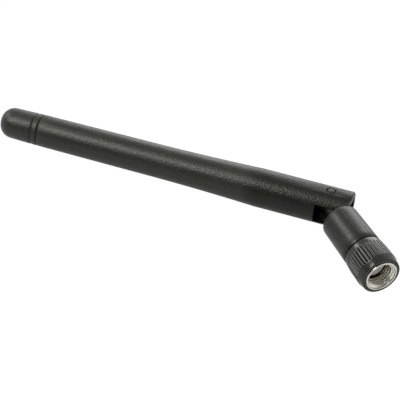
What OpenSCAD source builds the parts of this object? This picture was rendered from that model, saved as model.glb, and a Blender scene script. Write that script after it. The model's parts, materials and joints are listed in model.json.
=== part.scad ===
// Swivel whip antenna with a threaded coaxial plug, lying on its side.
// Millimetres. The origin is the centre of the plug's mating face, +X points out of the nut's
// mouth, and +Z runs along the knuckle's pivot pins.

/* [Whip] */
// Length from the pivot to the tip of the cap
whip_len = 82.2; // [76:0.1:110]
// Radius of the whip at the knuckle
knuckle_r = 4.6; // [4.5:0.05:5.2]
// Distance from the pivot to the end of the knuckle's straight barrel
knuckle_len = 17; // [15:0.5:20]
// Distance from the pivot to the end of the flare
flare_end = 47; // [40:1:50]
// Radius of the tube where the flare ends
tube_r = 3.96; // [3.9:0.02:4.4]
// Radius of the tube at the tip cap's joint
tube_tip_r = 3.84; // [3.7:0.02:3.9]
// Radius of the bore in the tube
tube_bore_r = 3; // [2.9:0.05:3.1]
// Distance from the pivot to the closed root of the bore
bore_root = 8; // [7:0.5:9]

/* [Tip cap] */
// Length of the cap outside the tube
cap_len = 10.2; // [8:0.1:12]
// Length of the rounded end of the cap
dome_len = 3.4; // [3:0.1:4.5]
// Radius of the cap where the rounded end starts
dome_r = 3.7; // [3.4:0.05:3.8]
// Wall thickness of the cap
cap_wall = 1.6; // [1.2:0.1:1.8]
// Length of the plug that goes into the tube
cap_plug_len = 2.5; // [1.5:0.1:3]
// Distance from the joint to the middle of the groove round the cap
ring_groove_at = 1.55; // [1:0.05:4]
// Width of the joint's groove and of the groove round the cap
groove_w = 0.55; // [0.3:0.05:0.8]
// Depth of both grooves
groove_depth = 0.25; // [0.1:0.05:0.3]

/* [Knuckle] */
// Bend between the elbow and the whip as it lies
rest_bend = 48; // [10:1:80]
// Reach of the hood past the pivot
hood_reach = 5.25; // [5.1:0.05:6]
// Half of the slot between the hood's two cheeks
slot_half = 2.5; // [2.3:0.05:3.2]
// Distance from the pivot to the slot's inner end
slot_depth = 2.6; // [2.5:0.05:3.5]
// Radius of the round end of the tongue, and half of its width
tongue_r = 2.45; // [2.2:0.05:2.6]
// Gap between the tongue and the hood's cheeks, on each side
cheek_gap = 0.1; // [0.05:0.01:0.15]
// Gap between the tongue and the hood's back wall
back_gap = 0.5; // [0.1:0.05:0.6]
// Radius of the pivot pins
pin_r = 1; // [0.8:0.05:1.2]
// Clearance round a pivot pin in the hood
pin_gap = 0.05; // [0.02:0.01:0.1]
// Width of the chamfer at the mouth of each pin hole
pin_chamfer = 0.15; // [0.05:0.05:0.3]

/* [Elbow] */
// Distance from the pivot to the plug's mating face
stem_len = 22.6; // [21:0.1:25]
// Gap between the hood's end and the elbow's shoulder when the whip is straight
shoulder_gap = 0.25; // [0.15:0.05:0.5]
// Radius of the elbow at its shoulder
elbow_r = 4.45; // [4.3:0.05:4.7]
// Radius of the elbow at the nut
elbow_front_r = 4.65; // [4.5:0.05:5]
// Rounding of the elbow's shoulder
shoulder_round = 0.6; // [0.3:0.1:1]
// Distance from the elbow's front face to the mating face
front_setback = 5.6; // [5.4:0.1:6.5]

/* [Cable] */
// Outer radius of the cable
cable_r = 0.9; // [0.8:0.05:1]
// Outer radius of the braid
braid_r = 0.675; // [0.6:0.025:0.725]
// Outer radius of the inner insulation
insulation_r = 0.42; // [0.35:0.01:0.5]
// Radius of the inner conductor
core_r = 0.15; // [0.1:0.01:0.2]
// Distance from the pivot at which the cable starts to bend, on both sides
bend_start = 4; // [3.5:0.1:4.4]
// Clearance round the cable where it passes through a wall
cable_gap = 0.15; // [0.1:0.05:0.2]

/* [Dipole] */
// Distance from the pivot to the open end of the sleeve
sleeve_start = 13; // [12:0.5:15]
// Length of the sleeve
sleeve_len = 28.5; // [25:0.5:30]
// Outer radius of the sleeve
sleeve_r = 2.5; // [2.2:0.05:2.7]
// Wall thickness of the sleeve
sleeve_wall = 0.4; // [0.25:0.05:0.5]
// Length of the solder fillet on the sleeve's closed end
solder_len = 0.6; // [0.3:0.1:1]
// Length of the bead at the feed point
bead_len = 1.8; // [1:0.1:2.5]
// Radius of the upper rod and of the bead
rod_r = 1.2; // [0.8:0.05:1.4]
// Free space between the upper rod and the cap's plug
tip_space = 1.2; // [0.5:0.1:3]
// Depth to which the inner conductor goes into the upper rod
rod_socket = 1.5; // [1:0.1:3]
// Length of the shrink tube over the feed point
shrink_len = 5; // [4:0.5:8]
// Wall thickness of the shrink tube
shrink_wall = 0.3; // [0.2:0.05:0.5]
// Width of each spacer ring
spacer_w = 2; // [1:0.5:4]
// Distance from an end of the dipole to its spacer ring
spacer_inset = 2; // [1:0.5:4]
// Length of the bush at the tube's root
grommet_len = 2; // [1:0.5:3]

/* [Plug] */
// Radius of the plug's front sleeve
barrel_r = 2.27; // [2.2:0.01:2.3]
// Length of the front sleeve ahead of the body's shoulder
barrel_len = 2.4; // [2:0.1:2.8]
// Radius of the insulator in the plug
insulator_r = 2.05; // [1.9:0.05:2.1]
// Length of the insulator
insulator_len = 5.2; // [4.5:0.1:5.6]
// Radius of the body inside the nut
body_r = 2.65; // [2.6:0.05:2.7]
// Radius of the body's flange in the elbow
flange_r = 3.3; // [3:0.05:3.5]
// Thickness of that flange
flange_len = 1.1; // [0.8:0.1:1.5]
// Distance from the mating face to the rear of the body's thick part
body_rear = 9.5; // [9:0.1:10]
// Radius of the body's tail
tail_r = 1.3; // [1.1:0.05:1.4]
// Length of the tail
tail_len = 2; // [1.5:0.1:2.5]
// Radius of the socket contact
contact_r = 0.635; // [0.6:0.005:0.66]
// Radius of the hole in the socket contact
socket_r = 0.47; // [0.45:0.005:0.5]
// Depth of the hole in the socket contact
socket_depth = 2.6; // [2:0.1:3]
// Length of the socket contact
contact_len = 6.6; // [6.2:0.1:6.8]
// Depth of the solder cup in the contact's rear
cup_depth = 1.2; // [0.8:0.1:1.6]
// Outer radius of the ferrule
ferrule_r = 1.7; // [1.5:0.05:1.9]
// Length of the ferrule behind the tail
ferrule_tail = 1.8; // [1:0.1:2.5]

/* [Coupling nut] */
// Thread wall radius, measured on the thread's crests
thread_r = 2.85; // [2.75:0.01:2.9]
// Distance from the mating face to the nut's mouth
mouth_reach = 3.2; // [3:0.1:4]
// Radius of the lead-in at the mouth
mouth_r = 3.42; // [3.3:0.02:3.7]
// Length of the lead-in
lead_in = 0.7; // [0.4:0.1:1]
// Radius of the relief behind the thread
relief_r = 3.25; // [3.2:0.05:3.4]
// Length of the relief behind the thread
relief_len = 2.9; // [2.8:0.1:3]
// Radius of the round ring at the nut's mouth
nut_ring_r = 3.82; // [3.75:0.01:4.1]
// Length of that ring
nut_ring_len = 1; // [0.8:0.1:1.3]
// Width of the nut across its flats
nut_flats = 8; // [7.9:0.01:8.1]
// Radius to which the nut's corners are turned
nut_corner_r = 4.3; // [4.2:0.01:4.4]
// Distance from the mating face to the nut's rear face
nut_rear = 5; // [4.9:0.1:5.5]
// Running clearance between the nut's rear bore and the plug's body
nut_gap = 0.07; // [0.03:0.01:0.1]
// Thickness of the retaining ring
ring_len = 0.55; // [0.4:0.05:0.6]
// Distance from the mating face to the front of the retaining ring's groove
ring_front = 3.5; // [3.4:0.05:3.6]
// Depth of the retaining ring's groove in the body
ring_depth = 0.33; // [0.25:0.01:0.35]
// Outer radius of the retaining ring
ring_r = 2.97; // [2.9:0.01:3]
// Angle of the split in the retaining ring
ring_split = 40; // [20:5:60]
// Length of the gasket
gasket_len = 0.6; // [0.4:0.1:1]

/* [Knurled collar] */
// Radius over the knurl's teeth at their front end
knurl_r = 5; // [4.95:0.05:5.4]
// Radius over the teeth where they start to fall towards the rear band
knurl_rear_r = 4.92; // [4.86:0.02:4.94]
// Length over which the teeth fall to the rear band
knurl_run_out = 1.1; // [0.3:0.1:1.5]
// Radius at the bottom of the knurl
knurl_root_r = 4.7; // [4.65:0.01:4.8]
// Number of teeth
knurl_teeth = 36; // [24:2:40]
// Share of the pitch that a tooth's crest takes
knurl_crest = 0.36; // [0.2:0.01:0.5]
// Distance from the mating face to the collar's rear face
collar_rear = 5.35; // [5.25:0.05:5.8]
// Distance from the mating face to the collar's front face
collar_front = 2.95; // [2.6:0.05:3.3]
// Radius of the smooth band behind the knurl
rear_band_r = 4.82; // [4.78:0.02:4.84]
// Length of the smooth band behind the knurl
rear_band_len = 1.5; // [1:0.1:2]
// Length of the smooth band ahead of the knurl
front_band_len = 1.6; // [1.2:0.1:2.5]
// Radius of that band at the knurl
front_band_r = 4.87; // [4.82:0.01:4.92]
// Radius of that band at the collar's front face
front_face_r = 4.62; // [4.5:0.02:4.8]

/* [Fits] */
// Gap between pieces that are fixed in each other
seat_gap = 0.01; // [0:0.005:0.03]

/* [Hidden] */
$fn = 96;
// Small overlap that lets one cut run into the next
cut = 0.1;
// Length of a cutter that is longer than the part
through = 60;
// Number of steps in a curved profile
curve_steps = 12;
// Blunt end of the cap: the power of its rounded outline
dome_power = 2.2;
// Rounding of the mouldings' outer edges
edge_round = 0.35;
// Size of the dish in a pin's end
pin_dish = 0.12;
// Depth of a pin's end below the hood's surface
pin_inset = 0.05;
// Thickness of the solder at the top of its fillet
solder_top = 0.1;
// Number of steps in a rounded edge
edge_steps = 4;
// Free space behind the ferrule in the elbow
pocket_gap = 0.6;
// Free space round the contact's rear in the body
contact_gap = 0.3;
// Bare length of the braid inside the sleeve
braid_bare = 1.5;
// Play of the retaining ring along its groove
ring_play = 0.15;
// Gap between the retaining ring and the nut
ring_gap = 0.05;
// Gap between the gasket and the nut
gasket_gap = 0.2;
// Depth of the body's flange below the elbow's front face
flange_inset = 0.1;
// Gap between the collar's rear lip and the body
lip_gap = 0.35;
// Length of the step between the teeth and the front band
tooth_slope = 0.15;
// Bevel between the front band and the collar's front face
face_edge = 0.15;

tongue_half = slot_half - cheek_gap;
channel_half = cable_r + cable_gap;
cable_bore_r = cable_r + cable_gap;
back_wall = tongue_r + back_gap;
shoulder_at = hood_reach + shoulder_gap;
joint_at = whip_len - cap_len;
cap_bore_r = dome_r - cap_wall;
sleeve_end = sleeve_start + sleeve_len;
jacket_end = sleeve_end - braid_bare;
braid_end = sleeve_end + solder_len;
bead_start = braid_end;
rod_start = bead_start + bead_len;
rod_end = joint_at - cap_plug_len - tip_space;
core_end = rod_start + rod_socket;
ferrule_rear = body_rear + tail_len + ferrule_tail;
elbow_bore_end = stem_len - ferrule_rear - pocket_gap;
elbow_jacket_end = stem_len - body_rear - tail_len;
flange_front = front_setback + flange_inset;
flange_rear = flange_front + flange_len;
contact_cavity_r = contact_r + contact_gap;
cavity_rear = contact_len + 2 * contact_gap;
ring_rear = ring_front + ring_len + ring_play;
ring_groove_r = body_r - ring_depth;
nut_bore_r = body_r + nut_gap;
nut_groove_r = ring_r + ring_gap;
hex_front = mouth_reach - nut_ring_len;
knurl_rear = collar_rear - rear_band_len;
knurl_front = front_band_len - collar_front;
hex_r = nut_flats / 2 / cos(30);
bend_radius = bend_start / tan(rest_bend / 2);
pin_end = knuckle_r - pin_inset;

// Frames of the two halves

// Local Z along the stem, measured from the pivot
module along_stem() {
    translate([-stem_len, 0, 0]) rotate([0, 90, 0]) children();
}

// Local Z along the stem, measured from the mating face towards the rear
module behind_face() {
    rotate([0, -90, 0]) children();
}

// Local X along the whip and local Y towards the hood's open side
module in_whip() {
    translate([-stem_len, 0, 0]) rotate([0, 0, 180 + rest_bend]) children();
}

// Local Z along the whip, measured from the pivot
module along_whip() {
    in_whip() rotate([0, 90, 0]) children();
}

// Shapes that repeat

// Tube between two stations on the local Z axis
module tube(r_out, r_in, from, to) {
    difference() {
        translate([0, 0, from]) cylinder(r = r_out, h = to - from);
        translate([0, 0, from - cut]) cylinder(r = r_in, h = to - from + 2 * cut);
    }
}

// Rod between two stations on the local Z axis
module rod(r, from, to) {
    translate([0, 0, from]) cylinder(r = r, h = to - from);
}

// Cone between two stations on the local Z axis
module cone(r_from, r_to, from, to) {
    translate([0, 0, from]) cylinder(r1 = r_from, r2 = r_to, h = to - from);
}

// Radius of the flare at a distance from the pivot: an arc tangent to the tube
function flare_r(s) = tube_r + (knuckle_r - tube_r) * pow((flare_end - s) / (flare_end - knuckle_len), 2);

// Outline of a quarter round edge, from the end face to the barrel
function round_edge(r, at, e) = [
    for (i = [0 : edge_steps])
        let (a = 90 * i / edge_steps) [r - e + e * sin(a), at + e - e * cos(a)]
];

// Whip

module radome_outline() {
    polygon(concat(
        [[0, -hood_reach]],
        round_edge(knuckle_r, -hood_reach, edge_round),
        [for (i = [0 : curve_steps])
            let (s = knuckle_len + (flare_end - knuckle_len) * i / curve_steps) [flare_r(s), s]],
        [
            [tube_tip_r, joint_at - groove_w / 2],
            [tube_tip_r - groove_depth, joint_at],
            [0, joint_at]
        ]
    ));
}

// Space between the hood's cheeks, open to the side on which the whip folds
module hood_slot() {
    translate([-through / 2, -back_wall, -slot_half])
        cube([through / 2 + slot_depth, through, 2 * slot_half]);
}

// Corner of the cheeks that would strike the elbow's shoulder as the whip folds
module cheek_corner() {
    difference() {
        translate([-through, 0, -through / 2]) cube([through, through, through]);
        cylinder(r = hood_reach, h = 2 * through, center = true);
    }
}

module pin_hole(side) {
    rotate([side < 0 ? 180 : 0, 0, 0]) {
        rod(pin_r + pin_gap, slot_half - cut, knuckle_r + cut);
        cone(pin_r + pin_gap, pin_r + pin_gap + pin_chamfer, knuckle_r - pin_chamfer - pin_inset, knuckle_r);
    }
}

module radome() {
    color([0.11, 0.11, 0.115])
        difference() {
            along_whip() rotate_extrude() radome_outline();
            in_whip() {
                hood_slot();
                cheek_corner();
                pin_hole(1);
                pin_hole(-1);
            }
            along_whip() {
                rod(tube_bore_r, bore_root, joint_at + cut);
                rod(cable_bore_r, slot_depth - cut, bore_root + cut);
            }
        }
}

function dome_profile() = [
    for (i = [0 : curve_steps])
        let (a = 90 * i / curve_steps, c = pow(cos(a), 2 / dome_power), d = pow(sin(a), 2 / dome_power))
            [i == curve_steps ? 0 : dome_r * c, whip_len - dome_len + dome_len * d]
];

module tip_cap_outline() {
    groove = joint_at + ring_groove_at;
    slope = (tube_tip_r - dome_r) / (cap_len - dome_len);
    r_groove = tube_tip_r - slope * ring_groove_at;
    polygon(concat(
        [
            [0, joint_at - cap_plug_len],
            [tube_bore_r - seat_gap - edge_round, joint_at - cap_plug_len],
            [tube_bore_r - seat_gap, joint_at - cap_plug_len + edge_round],
            [tube_bore_r - seat_gap, joint_at],
            [tube_tip_r - groove_depth, joint_at],
            [tube_tip_r, joint_at + groove_w / 2],
            [r_groove, groove - groove_w / 2],
            [r_groove - groove_depth, groove - groove_w / 8],
            [r_groove - groove_depth, groove + groove_w / 8],
            [r_groove, groove + groove_w / 2]
        ],
        dome_profile()
    ));
}

module tip_cap() {
    color([0.11, 0.11, 0.115])
        along_whip() difference() {
            rotate_extrude() tip_cap_outline();
            rod(cap_bore_r, joint_at - cap_plug_len - cut, whip_len - dome_len);
        }
}

module cable_grommet() {
    color([0.2, 0.2, 0.2])
        along_whip() tube(tube_bore_r - seat_gap, cable_r + seat_gap, bore_root, bore_root + grommet_len);
}

module whip_cable_jacket() {
    color([0.12, 0.12, 0.12])
        along_whip() tube(cable_r, braid_r + seat_gap, bend_start, jacket_end);
}

module whip_cable_braid() {
    color([0.75, 0.75, 0.72])
        along_whip() tube(braid_r, insulation_r + seat_gap, bend_start, braid_end);
}

module whip_cable_insulation() {
    color([0.92, 0.92, 0.9])
        along_whip() tube(insulation_r, core_r + seat_gap, bend_start, rod_start);
}

module whip_cable_core() {
    color([0.8, 0.78, 0.7])
        along_whip() rod(core_r, bend_start, core_end);
}

// Sleeve that is open towards the knuckle and closed at the feed point
module dipole_sleeve() {
    color([0.8, 0.65, 0.3])
        along_whip() difference() {
            rod(sleeve_r, sleeve_start, sleeve_end);
            rod(sleeve_r - sleeve_wall, sleeve_start - cut, sleeve_end - sleeve_wall);
            rod(braid_r + seat_gap, sleeve_start, sleeve_end + cut);
        }
}

module sleeve_solder() {
    color([0.78, 0.78, 0.8])
        along_whip() difference() {
            cone(rod_r, braid_r + solder_top, sleeve_end, braid_end);
            rod(braid_r + seat_gap, sleeve_end - cut, braid_end + cut);
        }
}

module feed_bead() {
    color([0.95, 0.95, 0.93])
        along_whip() tube(rod_r, insulation_r + seat_gap, bead_start, rod_start);
}

module feed_shrink() {
    color([0.13, 0.13, 0.14])
        along_whip()
            tube(rod_r + seat_gap + shrink_wall, rod_r + seat_gap, bead_start, bead_start + shrink_len);
}

module upper_radiator() {
    color([0.8, 0.65, 0.3])
        along_whip() difference() {
            rod(rod_r, rod_start, rod_end);
            rod(core_r + seat_gap, rod_start - cut, core_end + cut);
        }
}

// Ring between the tube's bore and a round piece in it
module spacer(r_in, from) {
    color([0.88, 0.88, 0.85])
        along_whip() tube(tube_bore_r - seat_gap, r_in + seat_gap, from, from + spacer_w);
}

module lower_spacer() {
    spacer(sleeve_r, sleeve_start + spacer_inset);
}

module upper_spacer() {
    spacer(rod_r, rod_end - spacer_inset - spacer_w);
}

// Elbow

module elbow_outline() {
    front = stem_len - front_setback;
    polygon(concat(
        [[0, shoulder_at]],
        round_edge(elbow_r, shoulder_at, shoulder_round),
        [
            [elbow_front_r, front - edge_round],
            [elbow_front_r - edge_round / 2, front],
            [0, front]
        ]
    ));
}

// Flat tongue with a round end about the pivot
module tongue() {
    translate([-stem_len, 0, -tongue_half])
        linear_extrude(2 * tongue_half) {
            circle(tongue_r);
            translate([0, -tongue_r]) square([shoulder_at + shoulder_round, 2 * tongue_r]);
        }
}

module elbow_housing() {
    color([0.15, 0.15, 0.155])
        difference() {
            union() {
                along_stem() rotate_extrude() elbow_outline();
                tongue();
            }
            translate([-stem_len - through, -through / 2, -channel_half])
                cube([through + bend_start + cable_gap, through, 2 * channel_half]);
            translate([-stem_len, 0, 0])
                cylinder(r = pin_r + seat_gap, h = through, center = true);
            along_stem() rod(cable_bore_r, bend_start, elbow_bore_end + cut);
            behind_face() {
                rod(flange_r + seat_gap, front_setback - cut, flange_rear);
                rod(body_r + seat_gap, front_setback - cut, body_rear);
                rod(ferrule_r + cable_gap, front_setback - cut, stem_len - elbow_bore_end);
            }
        }
}

// Stub pin that is pressed into one cheek of the tongue and turns in the hood
module pivot_pin(side) {
    color([0.14, 0.14, 0.145])
        translate([-stem_len, 0, 0])
            rotate([side < 0 ? 180 : 0, 0, 0])
                difference() {
                    union() {
                        rod(pin_r, channel_half, pin_end - pin_dish);
                        cone(pin_r, pin_r - pin_dish, pin_end - pin_dish, pin_end);
                    }
                    cone(0, pin_r - 2 * pin_dish, pin_end - pin_dish, pin_end + seat_gap);
                }
}

module upper_pivot_pin() {
    pivot_pin(1);
}

module lower_pivot_pin() {
    pivot_pin(-1);
}

// Plug

module connector_body() {
    color([0.83, 0.76, 0.55])
        behind_face() difference() {
            union() {
                rod(barrel_r, 0, barrel_len + cut);
                rod(body_r, barrel_len, body_rear);
                rod(flange_r, flange_front, flange_rear);
                rod(tail_r, body_rear - cut, body_rear + tail_len);
            }
            tube(body_r + cut, ring_groove_r, ring_front, ring_rear);
            rod(insulator_r + seat_gap, -cut, insulator_len);
            rod(contact_cavity_r, insulator_len - cut, cavity_rear);
            rod(braid_r + seat_gap, cavity_rear - cut, body_rear + tail_len + cut);
        }
}

module contact_insulator() {
    color([0.95, 0.95, 0.95])
        behind_face() tube(insulator_r, contact_r + seat_gap, 0, insulator_len);
}

module centre_contact() {
    color([0.85, 0.7, 0.35])
        behind_face() difference() {
            rod(contact_r, 0, contact_len);
            rod(socket_r, -cut, socket_depth);
            rod(core_r + seat_gap, contact_len - cup_depth, contact_len + cut);
        }
}

// Split ring that sits in the body's groove and holds the nut
module retaining_ring() {
    color([0.7, 0.7, 0.72])
        behind_face()
            translate([0, 0, ring_front + (ring_rear - ring_front - ring_len) / 2])
                rotate([0, 0, ring_split / 2])
                    rotate_extrude(angle = 360 - ring_split)
                        translate([ring_groove_r + seat_gap, 0])
                            square([ring_r - ring_groove_r - seat_gap, ring_len]);
}

module gasket() {
    color([0.55, 0.2, 0.15])
        behind_face()
            tube(relief_r - gasket_gap, barrel_r + seat_gap, barrel_len - gasket_len, barrel_len);
}

// Ferrule over the body's tail, stepped down onto the cable
module crimp_ferrule() {
    color([0.8, 0.75, 0.6])
        behind_face() difference() {
            rod(ferrule_r, body_rear, ferrule_rear);
            rod(tail_r + seat_gap, body_rear - cut, body_rear + tail_len);
            rod(cable_r + seat_gap, body_rear + tail_len - cut, ferrule_rear + cut);
        }
}

// Cable in the elbow

module elbow_cable_jacket() {
    color([0.12, 0.12, 0.12])
        along_stem() tube(cable_r, braid_r + seat_gap, bend_start, elbow_jacket_end);
}

module elbow_cable_braid() {
    color([0.75, 0.75, 0.72])
        along_stem() tube(braid_r, insulation_r + seat_gap, bend_start, stem_len - cavity_rear);
}

module elbow_cable_insulation() {
    color([0.92, 0.92, 0.9])
        along_stem() tube(insulation_r, core_r + seat_gap, bend_start, stem_len - contact_len);
}

module elbow_cable_core() {
    color([0.8, 0.78, 0.7])
        along_stem() rod(core_r, bend_start, stem_len - contact_len + cup_depth);
}

// Stretch of cable that bends with the knuckle
module knuckle_cable() {
    color([0.12, 0.12, 0.12])
        translate([-stem_len + bend_start, -bend_radius, 0])
            rotate([0, 0, 90])
                rotate_extrude(angle = rest_bend)
                    translate([bend_radius, 0]) circle(cable_r);
}

// Coupling

// Hexagon with its corners turned round, between two stations behind the mating face
module turned_hex(flats_r, corner_r, from, to) {
    intersection() {
        translate([0, 0, from]) cylinder(r = flats_r, h = to - from, $fn = 6);
        rod(corner_r, from, to);
    }
}

module coupling_nut() {
    color([0.78, 0.76, 0.7])
        behind_face() difference() {
            union() {
                turned_hex(hex_r, nut_corner_r, -hex_front, nut_rear);
                rod(nut_ring_r, -mouth_reach, -hex_front);
            }
            cone(mouth_r, thread_r, -mouth_reach, lead_in - mouth_reach);
            rod(thread_r, -mouth_reach, cut);
            rod(relief_r, 0, relief_len);
            rod(nut_bore_r, relief_len - cut, nut_rear + cut);
            rod(nut_groove_r, ring_front, ring_rear);
        }
}

// Outline of the knurl: one trapezoid for each tooth, with a groove on the local X axis
module knurl_outline() {
    pitch = 360 / knurl_teeth;
    half_crest = pitch * knurl_crest / 2;
    half_root = pitch * (1 - knurl_crest) / 2;
    polygon([
        for (i = [0.5 : knurl_teeth])
            for (p = [
                [knurl_root_r, -half_root],
                [knurl_r, -half_crest],
                [knurl_r, half_crest],
                [knurl_root_r, half_root]
            ])
                p[0] * [cos(i * pitch + p[1]), sin(i * pitch + p[1])]
    ]);
}

module collar_outline() {
    polygon([
        [0, -collar_front],
        [front_face_r - face_edge, -collar_front],
        [front_face_r, -collar_front + face_edge],
        [front_band_r, knurl_front],
        [knurl_r, knurl_front + tooth_slope],
        [knurl_rear_r, knurl_rear - knurl_run_out],
        [rear_band_r, knurl_rear],
        [rear_band_r, collar_rear - edge_round],
        [rear_band_r - edge_round, collar_rear],
        [0, collar_rear]
    ]);
}

module nut_jacket() {
    color([0.1, 0.1, 0.105])
        behind_face() difference() {
            intersection() {
                rotate_extrude() collar_outline();
                union() {
                    translate([0, 0, knurl_front]) linear_extrude(knurl_rear - knurl_front) knurl_outline();
                    rod(knurl_r, -collar_front - cut, knurl_front);
                    rod(knurl_r, knurl_rear, collar_rear + cut);
                }
            }
            turned_hex(hex_r + seat_gap, nut_corner_r + seat_gap, -hex_front - seat_gap, nut_rear + seat_gap);
            rod(nut_ring_r + seat_gap, -collar_front - cut, -hex_front);
            rod(body_r + lip_gap, nut_rear, collar_rear + cut);
        }
}

radome();
tip_cap();
cable_grommet();
whip_cable_jacket();
whip_cable_braid();
whip_cable_insulation();
whip_cable_core();
dipole_sleeve();
sleeve_solder();
feed_bead();
feed_shrink();
upper_radiator();
lower_spacer();
upper_spacer();
elbow_housing();
upper_pivot_pin();
lower_pivot_pin();
connector_body();
contact_insulator();
centre_contact();
retaining_ring();
gasket();
crimp_ferrule();
elbow_cable_jacket();
elbow_cable_braid();
elbow_cable_insulation();
elbow_cable_core();
knuckle_cable();
coupling_nut();
nut_jacket();
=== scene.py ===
"""Looks of a swivel whip antenna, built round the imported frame.

Sizes are written in millimetres and become metres when a mesh is made. Stations on the whip are
counted from the pivot towards the tip, and stations on the plug along +X from its mating face.
"""
import json
import logging
import math
from dataclasses import dataclass
from enum import Enum
from typing import Callable

import bmesh
import bpy
import numpy as np
from mathutils import Matrix, Vector


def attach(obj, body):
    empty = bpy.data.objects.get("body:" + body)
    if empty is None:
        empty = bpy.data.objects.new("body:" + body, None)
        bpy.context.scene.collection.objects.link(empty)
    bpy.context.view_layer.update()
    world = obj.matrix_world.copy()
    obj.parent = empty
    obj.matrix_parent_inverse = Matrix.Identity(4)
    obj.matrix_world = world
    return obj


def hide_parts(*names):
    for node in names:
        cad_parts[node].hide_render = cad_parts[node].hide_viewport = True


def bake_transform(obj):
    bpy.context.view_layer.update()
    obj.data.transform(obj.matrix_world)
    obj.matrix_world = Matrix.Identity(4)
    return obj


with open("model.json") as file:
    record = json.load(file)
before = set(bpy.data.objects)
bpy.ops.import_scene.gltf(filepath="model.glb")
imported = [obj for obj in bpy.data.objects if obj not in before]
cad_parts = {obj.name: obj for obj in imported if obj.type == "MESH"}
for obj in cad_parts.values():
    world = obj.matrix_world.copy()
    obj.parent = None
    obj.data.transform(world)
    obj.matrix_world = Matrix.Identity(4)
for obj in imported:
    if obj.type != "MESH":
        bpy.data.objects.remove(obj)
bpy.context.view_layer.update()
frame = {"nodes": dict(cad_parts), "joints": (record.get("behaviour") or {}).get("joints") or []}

MM = 0.001
LOG = logging.getLogger("antenna")

Colour = tuple[float, float, float]


class Body(Enum):
    """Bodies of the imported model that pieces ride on."""

    ELBOW = "elbow"
    WHIP = "whip"
    COUPLING = "coupling"


class Grain(Enum):
    """How a metal's surface was finished."""

    TURNED = "turned"
    WOVEN = "woven"
    PLAIN = "plain"


def unit(vector: np.ndarray) -> np.ndarray:
    """Vector of length one in the same direction."""
    return vector / np.linalg.norm(vector)


@dataclass(frozen=True)
class Axis:
    """Axis that round pieces are turned about.

    Args:
        start: Point of station zero, in millimetres.
        along: Unit vector in which stations grow.
        side: Unit vector at which the angle is zero.
    """

    start: np.ndarray
    along: np.ndarray
    side: np.ndarray

    @property
    def up(self) -> np.ndarray:
        """Unit vector at a quarter turn, right-handed about the axis."""
        return np.cross(self.along, self.side)

    def point(self, station: float, side: float = 0.0, up: float = 0.0) -> np.ndarray:
        """Point of the row frame at a station and two offsets across the axis."""
        return self.start + station * self.along + side * self.side + up * self.up

    def place(self, station: np.ndarray, radius: np.ndarray, angle: np.ndarray) -> np.ndarray:
        """Cylinder coordinates as points of the row frame.

        The point is start + station * along + radius * (cos(angle) * side + sin(angle) * up).

        Args:
            station: Distances along the axis.
            radius: Distances from the axis.
            angle: Angles about the axis in radians.

        Returns:
            Points with the shape of the arguments and a last dimension of three.
        """
        station, radius, angle = np.broadcast_arrays(station, radius, angle)
        across = radius[..., None] * (
            np.cos(angle)[..., None] * self.side + np.sin(angle)[..., None] * self.up
        )
        return self.start + station[..., None] * self.along + across


def soften(profile: np.ndarray, rounding: float | np.ndarray, steps: int, closed: bool) -> np.ndarray:
    """Rounds the corners of a profile.

    Each corner P becomes the quadratic curve (1 - t)^2 A + 2 t (1 - t) P + t^2 B, where A and B
    lie on its two sides at the rounding's distance, or at 45% of a side that is shorter.

    Args:
        profile: Corners as rows of station and radius.
        rounding: Distance cut back on both sides, one for all or one for each corner.
        steps: Number of points on each corner's curve.
        closed: Whether the last corner joins the first.

    Returns:
        The rounded profile. An open profile keeps its two end points.
    """
    before = np.roll(profile, 1, axis=0) - profile
    after = np.roll(profile, -1, axis=0) - profile
    reach = np.broadcast_to(rounding, len(profile))[:, None]
    share = 0.45
    long_before = np.linalg.norm(before, axis=1, keepdims=True)
    long_after = np.linalg.norm(after, axis=1, keepdims=True)
    first = profile + before / long_before * np.minimum(reach, share * long_before)
    last = profile + after / long_after * np.minimum(reach, share * long_after)
    t = np.linspace(0.0, 1.0, steps)[None, :, None]
    curve = (1 - t) ** 2 * first[:, None] + 2 * t * (1 - t) * profile[:, None] + t**2 * last[:, None]
    if closed:
        return curve.reshape(-1, 2)
    return np.vstack([profile[:1], curve[1:-1].reshape(-1, 2), profile[-1:]])


def grid_faces(rows: int, columns: int, wrap: bool) -> np.ndarray:
    """Quads of a grid whose rows run round an axis.

    Args:
        rows: Number of rows, which always join up round the axis.
        columns: Number of points in a row.
        wrap: Whether the last column joins the first.

    Returns:
        Vertex numbers, four to a face.
    """
    i = np.arange(rows)[:, None]
    j = np.arange(columns if wrap else columns - 1)[None, :]
    i_next, j_next = (i + 1) % rows, (j + 1) % columns
    quads = [i * columns + j, i_next * columns + j, i_next * columns + j_next, i * columns + j_next]
    return np.stack(quads, axis=-1).reshape(-1, 4)


def signed_volume(points: np.ndarray, triangles: np.ndarray) -> float:
    """Volume inside a closed surface, negative where its faces point inwards."""
    a, b, c = (points[triangles[:, k]] for k in range(3))
    return float(np.einsum("ij,ij->i", a, np.cross(b, c)).sum() / 6)


def finish_mesh(name: str, points: np.ndarray, quads: np.ndarray, triangles: np.ndarray,
                smooth_deg: float) -> bpy.types.Object:
    """Makes an object from a closed surface, with its faces turned outwards.

    Args:
        name: Name of the piece.
        points: Vertices in millimetres.
        quads: Faces with four corners.
        triangles: Faces with three corners.
        smooth_deg: Edges sharper than this stay sharp.

    Returns:
        The object, at the origin.
    """
    split = np.vstack([quads[:, :3], quads[:, [0, 2, 3]], triangles])
    step = -1 if signed_volume(points, split) < 0 else 1
    mesh = bpy.data.meshes.new(name)
    faces = [*quads[:, ::step].tolist(), *triangles[:, ::step].tolist()]
    mesh.from_pydata((points * MM).tolist(), [], faces)
    mesh.shade_smooth()
    mesh.set_sharp_from_angle(angle=math.radians(smooth_deg))
    piece = bpy.data.objects.new(name, mesh)
    bpy.context.scene.collection.objects.link(piece)
    return piece


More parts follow.
